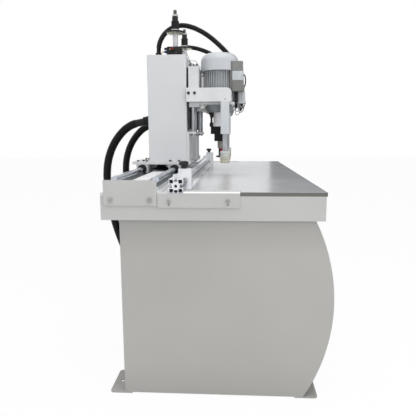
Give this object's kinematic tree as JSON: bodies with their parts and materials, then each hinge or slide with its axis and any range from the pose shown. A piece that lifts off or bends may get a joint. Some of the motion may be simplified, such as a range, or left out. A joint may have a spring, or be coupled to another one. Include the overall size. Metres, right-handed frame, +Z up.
{
  "type": "hinge boring machine",
  "caption": "Floor-standing hinge boring machine: long table, fence beam with stops, and boring heads with motors and clamps on carriages that run along rear rails.",
  "frame": {"origin": "on the floor, under the middle of the machine's box without its hoses", "axes": "+Z up, +X along the table towards the far end in the picture, -Y to the operator"},
  "size_m": [2.11, 1.0986, 1.686],
  "materials": {
    "base_paint": "fine satin powder coat",
    "white_paint": "fine satin powder coat",
    "cast_white": "satin paint",
    "table_laminate": "smooth laminate",
    "chrome_bar": "ground and chromed",
    "beam_aluminium": "anodised",
    "stop_aluminium": "satin",
    "bearing_aluminium": "satin",
    "clamp_aluminium": "anodised",
    "motor_aluminium": "painted die casting",
    "motor_paint": "satin paint",
    "box_aluminium": "moulded",
    "ground_steel": "ground",
    "black_iron": "black oxide",
    "black_block": "moulded",
    "black_plastic": "moulded",
    "black_hose": "ribbed, semi-matt"
  },
  "bodies": {
    "frame": {"base_cabinet": "base_paint", "base_rear_panel": "base_paint", "table_frame": "white_paint", "table_top": "table_laminate", "rail_bed": "white_paint", "guide_rails": "chrome_bar", "end_plates": "white_paint", "fence_beam": "beam_aluminium"},
    "fence_stop_left": {"fence_stop_left": "stop_aluminium"},
    "fence_stop_right": {"fence_stop_right": "stop_aluminium"},
    "stop_knob_left": {"stop_knob_left": "black_plastic"},
    "stop_knob_right": {"stop_knob_right": "black_plastic"},
    "carriage_a": {"carriage_plate_a": "cast_white", "bearing_blocks_a": "bearing_aluminium", "column_cover_a": "white_paint", "slide_guides_a": "ground_steel", "guide_housing_a": "white_paint", "clamp_bracket_a": "white_paint", "clamp_cylinders_a": "clamp_aluminium", "lift_cylinder_a": "clamp_aluminium", "depth_stop_a": "black_block", "hose_fittings_a": "black_plastic", "rear_hose_a": "black_hose", "top_conduit_a": "black_hose"},
    "boring_unit_a": {"motor_carrier_a": "cast_white", "motor_a": "motor_aluminium", "fan_cover_a": "motor_paint", "terminal_box_a": "box_aluminium", "gearbox_a": "black_iron"},
    "spindle_centre_a": {"spindle_centre_a": "ground_steel"},
    "spindle_left_a": {"spindle_left_a": "ground_steel"},
    "clamp_left_a": {"clamp_plunger_left_a": "ground_steel"},
    "spindle_right_a": {"spindle_right_a": "ground_steel"},
    "clamp_right_a": {"clamp_plunger_right_a": "ground_steel"},
    "brake_a": {"carriage_brake_a": "black_block"},
    "depth_sleeve_a": {"depth_sleeve_a": "ground_steel"},
    "carriage_b": {"carriage_plate_b": "cast_white", "bearing_blocks_b": "bearing_aluminium", "column_cover_b": "white_paint", "slide_guides_b": "ground_steel", "guide_housing_b": "white_paint", "clamp_bracket_b": "white_paint", "clamp_cylinders_b": "clamp_aluminium", "lift_cylinder_b": "clamp_aluminium", "depth_stop_b": "black_block", "hose_fittings_b": "black_plastic", "rear_hose_b": "black_hose", "top_conduit_b": "black_hose"},
    "boring_unit_b": {"motor_carrier_b": "cast_white", "motor_b": "motor_aluminium", "fan_cover_b": "motor_paint", "terminal_box_b": "box_aluminium", "gearbox_b": "black_iron"},
    "spindle_centre_b": {"spindle_centre_b": "ground_steel"},
    "spindle_left_b": {"spindle_left_b": "ground_steel"},
    "clamp_left_b": {"clamp_plunger_left_b": "ground_steel"},
    "spindle_right_b": {"spindle_right_b": "ground_steel"},
    "clamp_right_b": {"clamp_plunger_right_b": "ground_steel"},
    "brake_b": {"carriage_brake_b": "black_block"},
    "depth_sleeve_b": {"depth_sleeve_b": "ground_steel"}
  },
  "joints": [
    {"name": "fence_stop_left_slide", "type": "slide", "parent": "frame", "child": "fence_stop_left", "axis": [1, 0, 0], "range_m": [-0.03, 0.5]},
    {"name": "fence_stop_right_slide", "type": "slide", "parent": "frame", "child": "fence_stop_right", "axis": [1, 0, 0], "range_m": [-0.6, 0.3]},
    {"name": "stop_knob_left_turn", "type": "hinge", "parent": "fence_stop_left", "child": "stop_knob_left", "pos_m": [-0.979, 0.136, 0.94], "axis": [0, 0, 1], "range_deg": [0, 360]},
    {"name": "stop_knob_right_turn", "type": "hinge", "parent": "fence_stop_right", "child": "stop_knob_right", "pos_m": [0.72, 0.136, 0.94], "axis": [0, 0, 1], "range_deg": [0, 360]},
    {"name": "carriage_a_slide", "type": "slide", "parent": "frame", "child": "carriage_a", "axis": [1, 0, 0], "range_m": [-0.52, 0.06], "deforming": ["rear_hose_a"]},
    {"name": "boring_unit_a_feed", "type": "slide", "parent": "carriage_a", "child": "boring_unit_a", "axis": [0, 0, -1], "range_m": [0, 0.095], "deforming": ["top_conduit_a"]},
    {"name": "spindle_centre_a_spin", "type": "hinge", "parent": "boring_unit_a", "child": "spindle_centre_a", "pos_m": [-0.384, 0.0155, 1.1], "axis": [0, 0, 1], "continuous": true},
    {"name": "spindle_left_a_spin", "type": "hinge", "parent": "boring_unit_a", "child": "spindle_left_a", "pos_m": [-0.4065, 0.006, 1.05], "axis": [0, 0, 1], "continuous": true},
    {"name": "clamp_left_a_stroke", "type": "slide", "parent": "carriage_a", "child": "clamp_left_a", "axis": [0, 0, -1], "range_m": [0, 0.076], "stiffness_N_per_m": 300, "springref_m": -0.08},
    {"name": "spindle_right_a_spin", "type": "hinge", "parent": "boring_unit_a", "child": "spindle_right_a", "pos_m": [-0.3615, 0.006, 1.05], "axis": [0, 0, 1], "continuous": true},
    {"name": "clamp_right_a_stroke", "type": "slide", "parent": "carriage_a", "child": "clamp_right_a", "axis": [0, 0, -1], "range_m": [0, 0.076], "stiffness_N_per_m": 300, "springref_m": -0.08},
    {"name": "brake_a_press", "type": "slide", "parent": "carriage_a", "child": "brake_a", "axis": [0, 0, -1], "range_m": [0, 0.0038], "stiffness_N_per_m": 3000, "springref_m": -0.01},
    {"name": "depth_sleeve_a_turn", "type": "hinge", "parent": "carriage_a", "child": "depth_sleeve_a", "pos_m": [-0.384, 0.239, 1.6], "axis": [0, 0, 1], "range_deg": [-720, 720]},
    {"name": "carriage_b_slide", "type": "slide", "parent": "frame", "child": "carriage_b", "axis": [1, 0, 0], "range_m": [-0.06, 0.8], "deforming": ["rear_hose_b"]},
    {"name": "boring_unit_b_feed", "type": "slide", "parent": "carriage_b", "child": "boring_unit_b", "axis": [0, 0, -1], "range_m": [0, 0.095], "deforming": ["top_conduit_b"]},
    {"name": "spindle_centre_b_spin", "type": "hinge", "parent": "boring_unit_b", "child": "spindle_centre_b", "pos_m": [0.039, 0.0155, 1.1], "axis": [0, 0, 1], "continuous": true},
    {"name": "spindle_left_b_spin", "type": "hinge", "parent": "boring_unit_b", "child": "spindle_left_b", "pos_m": [0.0165, 0.006, 1.05], "axis": [0, 0, 1], "continuous": true},
    {"name": "clamp_left_b_stroke", "type": "slide", "parent": "carriage_b", "child": "clamp_left_b", "axis": [0, 0, -1], "range_m": [0, 0.076], "stiffness_N_per_m": 300, "springref_m": -0.08},
    {"name": "spindle_right_b_spin", "type": "hinge", "parent": "boring_unit_b", "child": "spindle_right_b", "pos_m": [0.0615, 0.006, 1.05], "axis": [0, 0, 1], "continuous": true},
    {"name": "clamp_right_b_stroke", "type": "slide", "parent": "carriage_b", "child": "clamp_right_b", "axis": [0, 0, -1], "range_m": [0, 0.076], "stiffness_N_per_m": 300, "springref_m": -0.08},
    {"name": "brake_b_press", "type": "slide", "parent": "carriage_b", "child": "brake_b", "axis": [0, 0, -1], "range_m": [0, 0.0038], "stiffness_N_per_m": 3000, "springref_m": -0.01},
    {"name": "depth_sleeve_b_turn", "type": "hinge", "parent": "carriage_b", "child": "depth_sleeve_b", "pos_m": [0.039, 0.239, 1.6], "axis": [0, 0, 1], "range_deg": [-720, 720]}
  ],
  "couplings": [
    {"joint": "spindle_left_a_spin", "follows": "spindle_centre_a_spin", "ratio": -1},
    {"joint": "spindle_right_a_spin", "follows": "spindle_centre_a_spin", "ratio": -1},
    {"joint": "spindle_left_b_spin", "follows": "spindle_centre_b_spin", "ratio": -1},
    {"joint": "spindle_right_b_spin", "follows": "spindle_centre_b_spin", "ratio": -1}
  ]
}
